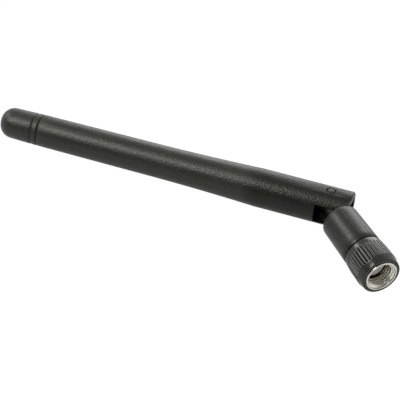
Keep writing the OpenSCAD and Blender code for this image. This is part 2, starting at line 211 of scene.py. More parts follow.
def turned(name: str, axis: Axis, station: np.ndarray, radius: np.ndarray, steps: int,
           smooth_deg: float = 50.0) -> bpy.types.Object:
    """Closed piece whose profile is carried round an axis.

    Point (i, j) is the axis's place at station j, radius (i, j) and angle 2 pi i / steps. A
    profile that starts and ends on the axis closes in two poles, and any other one is a loop.

    Args:
        name: Name of the piece.
        axis: Axis that the profile turns about.
        station: Station of each profile point.
        radius: Radius of each profile point, or of each point at each angle.
        steps: Number of steps round the axis.
        smooth_deg: Edges sharper than this stay sharp.

    Returns:
        The piece.
    """
    angle = np.arange(steps)[:, None] * (2 * math.pi / steps)
    radius = np.broadcast_to(radius, (steps, len(station)))
    points = axis.place(station[None, :], radius, angle)
    if radius[:, 0].max() > 0:
        no_triangles = np.zeros((0, 3), int)
        quads = grid_faces(steps, len(station), wrap=True)
        return finish_mesh(name, points.reshape(-1, 3), quads, no_triangles, smooth_deg)
    inner = points[:, 1:-1]
    columns = inner.shape[1]
    poles = np.vstack([points[:1, 0], points[:1, -1]])
    i = np.arange(steps)
    following = (i + 1) % steps
    first, last = steps * columns, steps * columns + 1
    fans = np.vstack([
        np.stack([np.full(steps, first), following * columns, i * columns], axis=-1),
        np.stack([np.full(steps, last), i * columns + columns - 1, following * columns + columns - 1],
                 axis=-1),
    ])
    quads = grid_faces(steps, columns, wrap=False)
    return finish_mesh(name, np.vstack([inner.reshape(-1, 3), poles]), quads, fans, smooth_deg)


def from_cad(name: str, node: str, bevel: float) -> bpy.types.Object:
    """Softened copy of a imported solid: its loose triangles are merged and its sharp edges bevelled.

    Args:
        name: Name of the piece.
        node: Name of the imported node.
        bevel: Width of the bevel in millimetres.

    Returns:
        The piece.
    """
    mesh = bpy.data.meshes.new(name)
    work = bmesh.new()
    work.from_mesh(frame["nodes"][node].data)
    bmesh.ops.remove_doubles(work, verts=work.verts, dist=1e-7)
    bmesh.ops.dissolve_limit(work, angle_limit=math.radians(0.3), verts=work.verts, edges=work.edges)
    work.to_mesh(mesh)
    work.free()
    mesh.materials.clear()
    mesh.shade_smooth()
    mesh.set_sharp_from_angle(angle=math.radians(30))
    piece = bpy.data.objects.new(name, mesh)
    bpy.context.scene.collection.objects.link(piece)
    soft = piece.modifiers.new("soft_edges", "BEVEL")
    soft.width = bevel * MM
    soft.segments = 2
    soft.limit_method = "ANGLE"
    soft.angle_limit = math.radians(30)
    soft.harden_normals = True
    return piece


class Shader:
    """Node tree of one material or world, and the one way in which nodes are added to it."""

    def __init__(self, tree: bpy.types.NodeTree) -> None:
        """Clears the tree and keeps it."""
        self.tree = tree
        tree.nodes.clear()

    def node(self, kind: str, settings: dict[str, object] | None = None,
             inputs: dict[str | int, object] | None = None) -> bpy.types.Node:
        """Adds a node.

        Args:
            kind: The node's type without its "ShaderNode" start.
            settings: Properties that are set before the sockets. "stops" fills a ramp.
            inputs: Values or links by socket name or number.

        Returns:
            The node.
        """
        made = self.tree.nodes.new("ShaderNode" + kind)
        settings = dict(settings or {})
        stops = settings.pop("stops", None)
        for key, value in settings.items():
            setattr(made, key, value)
        if stops:
            ramp = made.color_ramp.elements
            while len(ramp) < len(stops):
                ramp.new(1.0)
            for element, (position, level) in zip(ramp, stops):
                element.position = position
                element.color = (level, level, level, 1.0)
        for key, value in (inputs or {}).items():
            socket = made.inputs[key]
            source = value.socket if isinstance(value, Value) else value
            if isinstance(source, bpy.types.NodeSocket):
                self.tree.links.new(source, socket)
            else:
                socket.default_value = source
        return made

    def value(self, socket: bpy.types.NodeSocket) -> "Value":
        """Socket as a number that can be calculated with."""
        return Value(self, socket)

    def place(self) -> bpy.types.NodeSocket:
        """The piece's own object coordinates, in metres."""
        return self.node("TexCoord").outputs["Object"]

    def noise(self, size: float, detail: float, vector: bpy.types.NodeSocket | None = None) -> "Value":
        """Noise between 0 and 1 whose lumps are about a given size in millimetres."""
        found = self.node("TexNoise", inputs={
            "Vector": vector or self.place(), "Scale": 1.0 / (size * MM), "Detail": detail,
        })
        return self.value(found.outputs["Fac"])

    def tint(self, low: Colour, high: Colour, amount: "Value | float") -> bpy.types.NodeSocket:
        """Colour between two colours."""
        mix = self.node("Mix", {"data_type": "RGBA"}, {0: amount, 6: (*low, 1.0), 7: (*high, 1.0)})
        return mix.outputs[2]

    def bump(self, height: "Value", depth: float,
             under: bpy.types.NodeSocket | None = None) -> bpy.types.NodeSocket:
        """Normal of a relief whose full height is a given depth in millimetres."""
        inputs: dict[str | int, object] = {"Height": height, "Distance": depth * MM, "Strength": 1.0}
        if under:
            inputs["Normal"] = under
        return self.node("Bump", inputs=inputs).outputs["Normal"]


class Value:
    """Shader number: an operator on it adds the Math node of that name."""

    def __init__(self, shader: Shader, socket: bpy.types.NodeSocket) -> None:
        """Keeps the tree and the socket that holds the number."""
        self.shader = shader
        self.socket = socket

    def math(self, operation: str, *others: "Value | float", swap: bool = False) -> "Value":
        """Adds a Math node.

        Args:
            operation: The node's operation.
            others: The other operands.
            swap: Whether this number is the second operand.

        Returns:
            The result.
        """
        operands = [self, *others]
        if swap:
            operands.reverse()
        node = self.shader.node("Math", {"operation": operation}, dict(enumerate(operands)))
        return Value(self.shader, node.outputs[0])

    def __add__(self, other: "Value | float") -> "Value":
        """Sum."""
        return self.math("ADD", other)

    def __radd__(self, other: float) -> "Value":
        """Sum with a plain number on the left."""
        return self.math("ADD", other)

    def __sub__(self, other: "Value | float") -> "Value":
        """Difference."""
        return self.math("SUBTRACT", other)

    def __rsub__(self, other: float) -> "Value":
        """Difference from a plain number."""
        return self.math("SUBTRACT", other, swap=True)

    def __mul__(self, other: "Value | float") -> "Value":
        """Product."""
        return self.math("MULTIPLY", other)

    def __rmul__(self, other: float) -> "Value":
        """Product with a plain number on the left."""
        return self.math("MULTIPLY", other)

    def __gt__(self, other: "Value | float") -> "Value":
        """One where this number is greater, and zero elsewhere."""
        return self.math("GREATER_THAN", other)

    def between(self, low: float, high: float) -> "Value":
        """Smooth step from zero at one bound to one at the other."""
        node = self.shader.node("MapRange", {"interpolation_type": "SMOOTHSTEP"}, {
            "Value": self, "From Min": low, "From Max": high,
        })
        return Value(self.shader, node.outputs[0])


def surface_material(name: str) -> tuple[bpy.types.Material, Shader]:
    """New node material and its tree."""
    material = bpy.data.materials.new(name)
    material.use_nodes = True
    return material, Shader(material.node_tree)


@dataclass(frozen=True)
class Sheen:
    """Stretch of a moulding that is smoother and darker than the rest.

    Args:
        start: Point in millimetres from which the stretch is measured.
        along: Direction in which it is measured.
        reach: Distance at which the sheen starts to fade.
        fade: Length over which it fades.
        gain: Drop of the roughness in the stretch.
        dark: Share of the colour that the stretch lacks.
        gloss: Specular level of the stretch.
    """

    start: tuple[float, float, float]
    along: tuple[float, float, float]
    reach: float = 17.0
    fade: float = 4.0
    gain: float = 0.02
    dark: float = 0.5
    gloss: float = 0.28

    def mask(self, shader: Shader) -> Value:
        """One in the stretch and zero beyond it, from the dot product with its direction."""
        offset = sum(a * b for a, b in zip(self.start, self.along))
        dot = shader.node("VectorMath", {"operation": "DOT_PRODUCT"}, {0: shader.place(), 1: self.along})
        station = shader.value(dot.outputs["Value"]) * (1.0 / MM) - offset
        return 1.0 - station.between(self.reach, self.reach + self.fade)


@dataclass(frozen=True)
class MouldedPlastic:
    """Moulded plastic with a fine spark-eroded grain.

    Args:
        name: Name of the material.
        colour: Linear colour of the plastic.
        roughness: Mean roughness.
        grain_size: Size of the grain in millimetres.
        grain_depth: Depth of the grain in millimetres.
        painted_glint: How much lighter the tops of the grain are painted, as a painted glint.
        gloss: Specular level, half for ordinary plastic.
        sparkle: Drop of the roughness on the tops of the grain.
        tint: Tint of its reflections.
        sheen: Stretch of the moulding that is glossier.
    """

    name: str
    colour: Colour
    roughness: float
    grain_size: float
    grain_depth: float
    painted_glint: float = 0.5
    gloss: float = 0.38
    sparkle: float = 0.15
    tint: Colour = (1.0, 1.0, 0.92)
    sheen: Sheen | None = None

    def material(self) -> bpy.types.Material:
        """Base colour, roughness and normal vary with the grain and with wide soft patches; the colour is a
        painted glint on the grain's tops and painted shade in its valleys.
        """
        material, shader = surface_material(self.name)
        grain = shader.noise(self.grain_size, 1.0)
        pores = shader.noise(self.grain_size * 2.6, 2.0)
        patches = shader.noise(9.0, 2.0)
        # Painted glint and painted shade: the grain's tops are painted lighter than the colour and its valleys
        # darker, while the wide patches shift the tone at random.
        tops = grain.between(0.52, 0.72)
        light = tuple(c * (1.0 + self.painted_glint) for c in self.colour)
        dark = tuple(c * 0.86 for c in self.colour)
        amount = tops * 0.7 + patches.between(0.35, 0.65) * 0.3
        roughness = (self.roughness - 0.03) + patches * 0.08 + pores * 0.06 - tops * self.sparkle
        relief = shader.bump(pores, self.grain_depth * 0.4)
        inputs: dict[str | int, object] = {
            "Base Color": shader.tint(dark, light, amount),
            "Roughness": roughness,
            "Specular IOR Level": self.gloss,
            "Specular Tint": (*self.tint, 1.0),
            "Normal": shader.bump(grain, self.grain_depth, relief),
        }
        surface = shader.node("BsdfPrincipled", inputs=inputs)
        if self.sheen:
            share = 1.0 - self.sheen.dark
            inputs["Base Color"] = shader.tint(*(tuple(c * share for c in end) for end in (dark, light)), amount)
            inputs["Roughness"] = roughness - self.sheen.gain
            inputs["Specular IOR Level"] = self.sheen.gloss
            smooth = shader.node("BsdfPrincipled", inputs=inputs)
            mask = self.sheen.mask(shader)
            surface = shader.node("MixShader", inputs={0: mask, 1: surface.outputs[0], 2: smooth.outputs[0]})
        shader.node("OutputMaterial", inputs={"Surface": surface.outputs[0]})
        return material


@dataclass(frozen=True)
class Metal:
    """Metal or metal plating.

    Args:
        name: Name of the material.
        colour: Linear colour of its reflection.
        roughness: Mean roughness.
        grain: How the surface was finished.
        line_size: Spacing of turning marks or of the weave in millimetres.
        line_depth: Their depth in millimetres.
    """

    name: str
    colour: Colour
    roughness: float
    grain: Grain = Grain.PLAIN
    line_size: float = 0.06
    line_depth: float = 0.002

    def relief(self, shader: Shader) -> Value:
        """Height of the finish: rings along X for turned work, crossing strands for a braid."""
        if self.grain is Grain.WOVEN:
            wave = {"wave_type": "BANDS", "bands_direction": "DIAGONAL"}
            scale = 1.0 / (self.line_size * MM)
            one = shader.node("TexWave", wave, {"Vector": shader.place(), "Scale": scale})
            turn = shader.node("Mapping", inputs={
                "Vector": shader.place(), "Rotation": (0.0, math.pi / 2, 0.0),
            })
            two = shader.node("TexWave", wave, {"Vector": turn.outputs[0], "Scale": scale})
            return shader.value(one.outputs["Fac"]) * shader.value(two.outputs["Fac"])
        if self.grain is Grain.TURNED:
            rings = shader.node("Mapping", inputs={
                "Vector": shader.place(), "Scale": (1.0, 0.04, 0.04),
            })
            return shader.noise(self.line_size, 2.0, rings.outputs[0])
        return shader.noise(self.line_size * 5.0, 2.0)

    def material(self) -> bpy.types.Material:
        """Metal whose colour and roughness vary a little with wear and handling."""
        material, shader = surface_material(self.name)
        wear = shader.noise(1.4, 4.0)
        finish = self.relief(shader)
        dull = tuple(c * 0.86 for c in self.colour)
        principled = shader.node("BsdfPrincipled", inputs={
            "Base Color": shader.tint(dull, self.colour, wear.between(0.3, 0.6)),
            "Metallic": 1.0,
            "Roughness": (self.roughness - 0.04) + wear * 0.05 + finish * 0.03,
            "Normal": shader.bump(finish, self.line_depth),
        })
        shader.node("OutputMaterial", inputs={"Surface": principled.outputs[0]})
        return material


def dress(piece: bpy.types.Object, material: bpy.types.Material) -> None:
    """Puts a material on a piece."""
    if piece.data.materials:
        piece.material_slots[0].material = material
    else:
        piece.data.materials.append(material)


@dataclass(frozen=True)
class Finishes:
    """Every material of the antenna."""

    whip: bpy.types.Material
    elbow: bpy.types.Material
    collar: bpy.types.Material
    pin: bpy.types.Material
    jacket: bpy.types.Material
    white: bpy.types.Material
    shrink: bpy.types.Material
    foam: bpy.types.Material
    rubber: bpy.types.Material
    silicone: bpy.types.Material
    nickel: bpy.types.Material
    gilt: bpy.types.Material
    brass: bpy.types.Material
    solder: bpy.types.Material
    spring: bpy.types.Material
    braid: bpy.types.Material
    wire: bpy.types.Material

    @classmethod
    def make(cls, knuckle: Sheen) -> "Finishes":
        """Builds them all.

        Args:
            knuckle: The glossier stretch of the whip.

        Returns:
            The materials.
        """
        plastic, metal = MouldedPlastic, Metal
        return cls(
            whip=plastic("black_grained_whip", (0.0118, 0.0122, 0.0090), 0.36, 0.42, 0.080, 0.6,
                         sheen=knuckle).material(),
            elbow=plastic("black_matte_elbow", (0.0080, 0.0082, 0.0068), 0.31, 0.40, 0.030, 0.5,
                          0.34).material(),
            collar=plastic("black_gloss_collar", (0.0045, 0.0045, 0.0036), 0.13, 0.40, 0.008, 0.4,
                           0.50, 0.02).material(),
            pin=plastic("black_pin", (0.010, 0.010, 0.009), 0.36, 0.35, 0.012, 0.4).material(),
            jacket=plastic("cable_jacket", (0.018, 0.018, 0.017), 0.42, 0.5, 0.010, 0.3).material(),
            white=plastic("white_insulation", (0.82, 0.80, 0.84), 0.38, 0.5, 0.006, 0.05).material(),
            shrink=plastic("shrink_tube", (0.02, 0.02, 0.02), 0.36, 0.9, 0.020, 0.3).material(),
            foam=plastic("spacer_foam", (0.72, 0.72, 0.69), 0.85, 0.35, 0.060, 0.1).material(),
            rubber=plastic("soft_rubber", (0.022, 0.022, 0.022), 0.70, 0.4, 0.015, 0.4).material(),
            silicone=plastic("red_silicone", (0.36, 0.08, 0.05), 0.45, 0.6, 0.008, 0.2).material(),
            nickel=metal("nickel_plating", (0.72, 0.70, 0.62), 0.13, Grain.TURNED, 0.07, 0.0008).material(),
            gilt=metal("gilt_contact", (0.78, 0.72, 0.60), 0.26, Grain.TURNED, 0.05, 0.001).material(),
            brass=metal("drawn_brass", (0.72, 0.52, 0.24), 0.30).material(),
            solder=metal("solder", (0.66, 0.66, 0.68), 0.38).material(),
            spring=metal("spring_steel", (0.58, 0.58, 0.60), 0.30).material(),
            braid=metal("tinned_braid", (0.66, 0.66, 0.63), 0.36, Grain.WOVEN, 0.35, 0.03).material(),
            wire=metal("silvered_wire", (0.82, 0.80, 0.74), 0.25).material(),
        )


@dataclass
class Whip:
    """Moulded tube with its hooded knuckle and rounded tip cap.

    Args:
        axis: Axis from the pivot towards the tip.
        length: Pivot to the tip.
        joint: Pivot to the joint of the tip cap.
        tube_tip_r: Radius at that joint.
        dome_r: Radius where the rounded end starts.
        dome_len: Length of the rounded end.
        dome_power: Power of the dome's outline, two for a circle.
        bore_r: Bore of the tube.
        seat_gap: Gap between pieces fixed in each other.
        plug_len: Length of the cap's plug in the tube.
        cap_bore_r: Bore of the cap.
        groove_w: Width of a groove.
        groove_depth: Depth of a groove.
        ring_groove_at: Distance of the cap's own groove from the joint.
        edge: Bevel on the moulding's edges.
    """

    axis: Axis
    length: float = 82.2
    joint: float = 72.0
    tube_tip_r: float = 3.84
    dome_r: float = 3.7
    dome_len: float = 3.4
    dome_power: float = 2.2
    bore_r: float = 3.0
    seat_gap: float = 0.01
    plug_len: float = 2.5
    cap_bore_r: float = 2.1
    groove_w: float = 0.55
    groove_depth: float = 0.25
    ring_groove_at: float = 1.55
    edge: float = 0.12

    def cap_profile(self) -> np.ndarray:
        """Outline of the tip cap, from its bore's end round the mouth to the tip.

        The dome is the curve (x / length)^power + (r / radius)^power = 1.

        Returns:
            Rows of station and radius.
        """
        dome_start = self.length - self.dome_len
        slope = (self.tube_tip_r - self.dome_r) / (dome_start - self.joint)
        groove = self.joint + self.ring_groove_at
        at_groove = self.tube_tip_r - slope * self.ring_groove_at
        plug_r = self.bore_r - self.seat_gap
        body = np.array([
            [dome_start, 0.0],
            [dome_start, self.cap_bore_r],
            [self.joint - self.plug_len, self.cap_bore_r],
            [self.joint - self.plug_len, plug_r],
            [self.joint, plug_r],
            [self.joint, self.tube_tip_r - self.groove_depth],
            [self.joint + self.groove_w / 2, self.tube_tip_r],
            [groove - self.groove_w / 2, at_groove],
            [groove - self.groove_w / 5, at_groove - self.groove_depth],
            [groove + self.groove_w / 5, at_groove - self.groove_depth],
            [groove + self.groove_w / 2, at_groove],
            [dome_start, self.dome_r],
        ])
        soft = soften(body, 0.1, 4, closed=False)
        angle = np.linspace(0.0, math.pi / 2, 25)[1:]
        power = 2.0 / self.dome_power
        dome = np.stack([
            dome_start + self.dome_len * np.sin(angle) ** power,
            self.dome_r * np.abs(np.cos(angle)) ** power,
        ], axis=-1)
        dome[-1, 1] = 0.0
        return np.vstack([soft, dome])

    def build(self, finishes: Finishes) -> None:
        """Makes the tube and the cap."""
        tube = from_cad("whip_tube", "radome", self.edge)
        dress(tube, finishes.whip)
        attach(tube, Body.WHIP.value)
        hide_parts("radome")
        profile = self.cap_profile()
        cap = turned("whip_tip_cap", self.axis, profile[:, 0], profile[:, 1], 144)
        dress(cap, finishes.whip)
        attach(cap, Body.WHIP.value)
        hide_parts("tip_cap")
        LOG.info("whip: %s and %s", tube.name, cap.name)


@dataclass
class Elbow:
    """Elbow moulding with the stub pins that the whip turns on.

    Args:
        pivot: Axis of the pins, from the pivot upwards.
        pin_r: Radius of a pin.
        pin_start: Distance from the pivot to a pin's inner end.
        pin_end: Distance from the pivot to a pin's outer end.
        crown: Height of each step of the pin's crowned end.
        edge: Bevel on the moulding's edges.
    """

    pivot: Axis
    pin_r: float = 1.0
    pin_start: float = 1.05
    pin_end: float = 4.55
    crown: float = 0.12
    edge: float = 0.12

    def pin(self, name: str, node: str, way: int, finishes: Finishes) -> None:
        """One stub pin with a crowned end.

        Args:
            name: Name of the piece.
            node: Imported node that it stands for.
            way: 1 for the upper pin and -1 for the lower one.
            finishes: The antenna's materials.
        """
        profile = np.array([
            [self.pin_start, 0.0],
            [self.pin_start, self.pin_r],
            [self.pin_end - 2 * self.crown, self.pin_r],
            [self.pin_end - self.crown, self.pin_r - self.crown],
            [self.pin_end, self.pin_r / 2],
            [self.pin_end, 0.0],
        ])
        soft = soften(profile, self.crown, 5, closed=False)
        piece = turned(name, self.pivot, way * soft[:, 0], soft[:, 1], 64)
        dress(piece, finishes.pin)
        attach(piece, Body.ELBOW.value)
        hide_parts(node)

    def build(self, finishes: Finishes) -> None:
        """Makes the elbow and its two pins."""
        elbow = from_cad("elbow_body", "elbow_housing", self.edge)
        dress(elbow, finishes.elbow)
        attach(elbow, Body.ELBOW.value)
        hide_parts("elbow_housing")
        self.pin("upper_pin", "upper_pivot_pin", 1, finishes)
        self.pin("lower_pin", "lower_pivot_pin", -1, finishes)
        LOG.info("elbow: %s and two pins", elbow.name)


@dataclass
class Plug:
    """Turned body of the plug with its insulator and socket contact.

    Args:
        axis: Axis from the mating face out of the nut's mouth.
        barrel_r: Radius of the front sleeve.
        barrel_len: Length of the front sleeve.
        body_r: Radius inside the nut.
        groove_r: Radius in the retaining ring's groove.
        groove: Stations of that groove behind the face.
        flange_r: Radius of the flange.
        flange: Stations of the flange.
        rear: Rear of the thick part.
        tail_r: Radius of the tail.
        tail_rear: Rear of the tail.
        insulator_r: Radius of the insulator.
        insulator_len: Length of the insulator.
        contact_r: Radius of the contact.
        socket_r: Radius of its hole.
        socket_depth: Depth of its hole.
        contact_len: Length of the contact.
        cup_r: Radius of the solder cup.
        cup_depth: Depth of the solder cup.
        cavity_r: Radius of the space behind the insulator.
        cavity_rear: Rear of that space.
        cable_r: Radius of the hole for the braid.
        slits: Number of slits in the contact.
        seat_gap: Gap between pieces fixed in each other.
    """

    axis: Axis
    barrel_r: float = 2.27
    barrel_len: float = 2.4
    body_r: float = 2.65
    groove_r: float = 2.32
    groove: tuple[float, float] = (3.5, 4.2)
    flange_r: float = 3.3
    flange: tuple[float, float] = (5.7, 6.8)
    rear: float = 9.5
    tail_r: float = 1.3
    tail_rear: float = 11.5
    insulator_r: float = 2.05
    insulator_len: float = 5.2
    contact_r: float = 0.635
    socket_r: float = 0.47
    socket_depth: float = 2.6
    contact_len: float = 6.6
    cup_r: float = 0.16
    cup_depth: float = 1.2
    cavity_r: float = 0.935
    cavity_rear: float = 7.2
    cable_r: float = 0.685
    slits: int = 4
    seat_gap: float = 0.01

    def body(self) -> bpy.types.Object:
        """Turned shell: a closed profile with small rounded corners, carried round the axis."""
        profile = np.array([
            [0.0, self.barrel_r],
            [self.barrel_len, self.barrel_r],
            [self.barrel_len, self.body_r],
            [self.groove[0], self.body_r],
            [self.groove[0], self.groove_r],
            [self.groove[1], self.groove_r],
            [self.groove[1], self.body_r],
            [self.flange[0], self.body_r],
            [self.flange[0], self.flange_r],
            [self.flange[1], self.flange_r],
            [self.flange[1], self.body_r],
            [self.rear, self.body_r],
            [self.rear, self.tail_r],
            [self.tail_rear, self.tail_r],
            [self.tail_rear, self.cable_r],
            [self.cavity_rear, self.cable_r],
            [self.cavity_rear, self.cavity_r],
            [self.insulator_len, self.cavity_r],
            [self.insulator_len, self.insulator_r + self.seat_gap],
            [0.0, self.insulator_r + self.seat_gap],
        ])
        soft = soften(profile, 0.06, 4, closed=True)
        return turned("plug_body", self.axis, -soft[:, 0], soft[:, 1], 128)

    def insulator(self) -> bpy.types.Object:
        """White ring between the body and the contact."""
        hole = self.contact_r + self.seat_gap
        profile = np.array([
            [0.0, hole],
            [0.0, self.insulator_r],
            [self.insulator_len, self.insulator_r],
            [self.insulator_len, hole],
        ])
        soft = soften(profile, 0.05, 4, closed=True)
        return turned("plug_insulator", self.axis, -soft[:, 0], soft[:, 1], 128)

    def contact(self) -> bpy.types.Object:
        """Socket contact: the outside drops to the hole's radius where a slit runs.

        The radius of the front part outside is r - depth * slit(angle), where slit is 1 within a
        narrow band about each of the slits' angles and 0 elsewhere.
        """
        profile = np.array([
            [self.socket_depth, 0.0],
            [self.socket_depth, self.socket_r],
            [0.0, self.socket_r],
            [0.0, self.contact_r],
            [self.socket_depth, self.contact_r],
            [self.contact_len, self.contact_r],
            [self.contact_len, self.cup_r],
            [self.contact_len - self.cup_depth, self.cup_r],
            [self.contact_len - self.cup_depth, 0.0],
        ])
        soft = soften(profile, 0.04, 4, closed=False)
        steps = 192
        angle = np.arange(steps) * (2 * math.pi / steps)
        slit = np.abs(np.sin(self.slits * angle / 2)) < 0.16
        middle = (self.contact_r + self.socket_r) / 2
        cut = slit[:, None] & (soft[None, :, 0] < self.socket_depth - 0.1) & (soft[None, :, 1] > middle)
        radius = np.where(cut, self.socket_r + self.seat_gap, soft[None, :, 1])
        return turned("plug_contact", self.axis, -soft[:, 0], radius, steps, smooth_deg=35.0)

    def build(self, finishes: Finishes) -> None:
        """Makes the three turned pieces."""
        made = [
            (self.body(), "connector_body", finishes.gilt, "gilt_brass"),
            (self.insulator(), "contact_insulator", finishes.white, "white_insulation"),
            (self.contact(), "centre_contact", finishes.gilt, "gilt_brass"),
        ]
        for piece, node, material, slot in made:
            dress(piece, material)
            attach(piece, Body.ELBOW.value)
            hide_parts(node)
            LOG.info("plug: %s", piece.name)


@dataclass
class Coupling:
    """Threaded nut and the knurled collar over it.

    Args:
        axis: Axis from the mating face out of the nut's mouth.
        mouth: Station of the nut's mouth.
        thread_r: Radius on the thread's crests.
        thread_depth: Depth of the thread.
        pitch: Pitch of the thread.
        mouth_r: Radius of the lead-in at the mouth.
        lead_in: Length of the lead-in.
        land: Length of its straight part at the mouth.
        relief_r: Radius of the relief behind the thread.
        relief_len: Length of the relief.
        ring_r: Radius of the nut's front ring.
        ring_len: Length of that ring.
        flats: Width across the nut's flats.
        corner_r: Radius of its turned corners.
        rear: Distance from the mating face to its rear.
        bore_r: Radius of its rear bore.
        groove_r: Radius of the groove over the retaining ring.
        groove: Stations of that groove.
        knurl_r: Radius over the teeth at their front end.
        knurl_rear_r: Radius over the teeth where they start to fall towards the rear band.
        run_out: Length over which they fall.
        root_r: Radius between the teeth.
        teeth: Number of teeth.
        tooth_power: Power with which a tooth falls from its crest to the groove.
        knurl: Stations of the knurl behind the face.
        slope: Length of the step from the teeth to the front band.
        depth_rise: Lengths over which the grooves get deep at the front and at the rear.
        band_r: Radius of the rear band at the knurl.
        band_fall: How much smaller its radius is at the rear.
        front_band_r: Radius of the front band at the knurl.
        collar: Stations of the collar behind the face.
        face_r: Radius of the collar's front face.
        lip_r: Radius of the hole in its rear lip.
        edge: Rounding of its edges.
        seat_gap: Gap between pieces fixed in each other.
    """

    axis: Axis
    mouth: float = 3.2
    thread_r: float = 2.85
    thread_depth: float = 0.31
    pitch: float = 0.7056
    mouth_r: float = 3.42
    lead_in: float = 0.7
    land: float = 0.25
    relief_r: float = 3.25
    relief_len: float = 2.9
    ring_r: float = 3.82
    ring_len: float = 1.0
    flats: float = 8.0
    corner_r: float = 4.3
    rear: float = 5.0
    bore_r: float = 2.72
    groove_r: float = 3.02
    groove: tuple[float, float] = (3.5, 4.2)
    knurl_r: float = 5.0
    knurl_rear_r: float = 4.92
    run_out: float = 1.1
    root_r: float = 4.7
    teeth: int = 36
    tooth_power: float = 3.0
    knurl: tuple[float, float] = (-1.35, 3.85)
    slope: float = 0.2
    depth_rise: tuple[float, float] = (0.2, 0.35)
    band_r: float = 4.82
    band_fall: float = 0.07
    front_band_r: float = 4.87
    collar: tuple[float, float] = (-2.95, 5.35)
    face_r: float = 4.62
    lip_r: float = 3.0
    edge: float = 0.35
    seat_gap: float = 0.01

    def hexagon(self, angle: np.ndarray, gap: float) -> np.ndarray:
        """Radius of the nut's hexagon with turned corners.

        It is the smaller of the corner radius and half the flats over cos(a), where a is the
        angle from the middle of the nearest flat.

        Args:
            angle: Angles about the axis.
            gap: Length added all round.

        Returns:
            Radii.
        """
        sixth = math.pi / 3
        from_flat = np.mod(angle, sixth) - sixth / 2
        return np.minimum(self.corner_r, self.flats / 2 / np.cos(from_flat)) + gap

    def thread(self, station: np.ndarray, angle: np.ndarray) -> np.ndarray:
        """Radius of the right-handed inner thread.

        The phase is station / pitch - angle / turn, and the radius rises from the crest by the
        thread's depth over a flank, stays at the root and falls again.

        Args:
            station: Stations along the axis.
            angle: Angles about the axis.

        Returns:
            Radii.
        """
        phase = np.mod(station / self.pitch - angle / (2 * math.pi), 1.0)
        height = np.clip((0.5 - np.abs(phase - 0.5)) * 4.0 - 0.45, 0.0, 1.0)
        return self.thread_r + self.thread_depth * height * height * (3 - 2 * height)

    def nut(self) -> bpy.types.Object:
        """Nut as one closed grid: ring, hexagon, rear bore, grooves, thread and lead-in."""
        steps = 216
        angle = np.arange(steps)[:, None] * (2 * math.pi / steps)
        hex_front = self.ring_len - self.mouth
        bevel = 0.12
        outside = np.array([
            [-self.mouth, self.mouth_r + bevel],
            [-self.mouth, self.ring_r],
            [hex_front, self.ring_r],
            [hex_front, self.corner_r],
            [self.rear, self.corner_r],
            [self.rear, self.bore_r],
            [self.groove[1], self.bore_r],
            [self.groove[1], self.groove_r],
            [self.groove[0], self.groove_r],
            [self.groove[0], self.bore_r],
            [self.relief_len, self.bore_r],
            [self.relief_len, self.relief_r],
            [0.1, self.relief_r],
        ])
        soft = soften(outside, bevel, 4, closed=False)
        threaded = np.linspace(0.0, 1.0 - self.mouth, 100)
        lead = np.linspace(1.0 - self.mouth, -self.mouth, 24)[1:]
        station = np.concatenate([soft[:, 0], threaded, lead])
        hexed = np.minimum(soft[None, :, 1], self.hexagon(angle, 0.0))
        outer = (soft[:, 0] > hex_front - self.seat_gap) & (soft[:, 1] > self.relief_r + bevel)
        turned_part = np.where(outer[None, :], hexed, soft[None, :, 1])
        bore = station[len(soft):][None, :]
        inwards = np.clip((bore + self.mouth - self.land) / (self.lead_in - self.land), 0.0, 1.0)
        cone = self.mouth_r + (self.thread_r - self.mouth_r) * inwards
        wall = np.maximum(self.thread(-bore, angle), cone)
        radius = np.hstack([turned_part, wall])
        return turned("coupling_nut_threaded", self.axis, -station, radius, steps, smooth_deg=60.0)

    def jacket(self) -> bpy.types.Object:
        """Collar as one closed grid.

        In the knurl the radius is root + depth * (1 - (2 h)^power), where h is the distance from
        the nearest crest as a share of the pitch. The grooves run out to the smooth bands.
        """
        steps = self.teeth * 16
        angle = np.arange(steps)[:, None] * (2 * math.pi / steps)
        front, rear = self.collar
        start, end = self.knurl
        hex_r = self.corner_r + self.seat_gap
        hex_front = self.ring_len - self.mouth - self.seat_gap
        profile = np.array([
            [front, self.ring_r + self.seat_gap],
            [front, self.face_r],
            [start, self.front_band_r],
            [start + self.slope, self.knurl_r],
            [end - self.run_out, self.knurl_rear_r],
            [end, self.band_r],
            [rear - self.edge, self.band_r - self.band_fall],
            [rear, self.band_r - self.edge],
            [rear, self.lip_r],
            [self.rear + self.seat_gap, self.lip_r],
            [self.rear + self.seat_gap, hex_r],
            [hex_front, hex_r],
            [hex_front, self.ring_r + self.seat_gap],
        ])
        soft = soften(profile, 0.14, 5, closed=True)
        station, plain = soft[:, 0], soft[:, 1]
        inside = (plain > self.ring_r + 0.1) & (plain < hex_r + 0.001) & (station > hex_front - 0.001)
        half = 0.5 - np.abs(np.mod(angle * self.teeth / (2 * math.pi) + 0.5, 1.0) - 0.5)
        tooth = 1.0 - (2 * half) ** self.tooth_power
        at_front, at_rear = self.depth_rise
        along = np.clip(np.minimum((station - start) / at_front, (end - station) / at_rear), 0.0, 1.0)
        depth = (self.knurl_r - self.root_r) * along
        toothed = plain[None, :] - depth[None, :] * (1 - tooth)
        outside = plain > hex_r + 0.05
        hexed = np.minimum(plain[None, :], self.hexagon(angle, self.seat_gap))
        radius = np.where(outside[None, :], toothed, np.where(inside[None, :], hexed, plain[None, :]))
        return turned("knurled_collar", self.axis, -station, radius, steps)

    def build(self, finishes: Finishes) -> None:
        """Makes the nut and the collar."""
        made = [
            (self.nut(), "coupling_nut", finishes.nickel, "nickel"),
            (self.jacket(), "nut_jacket", finishes.collar, "collar_plastic"),
        ]
        for piece, node, material, slot in made:
            dress(piece, material)
            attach(piece, Body.COUPLING.value)
            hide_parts(node)
            LOG.info("coupling: %s", piece.name)


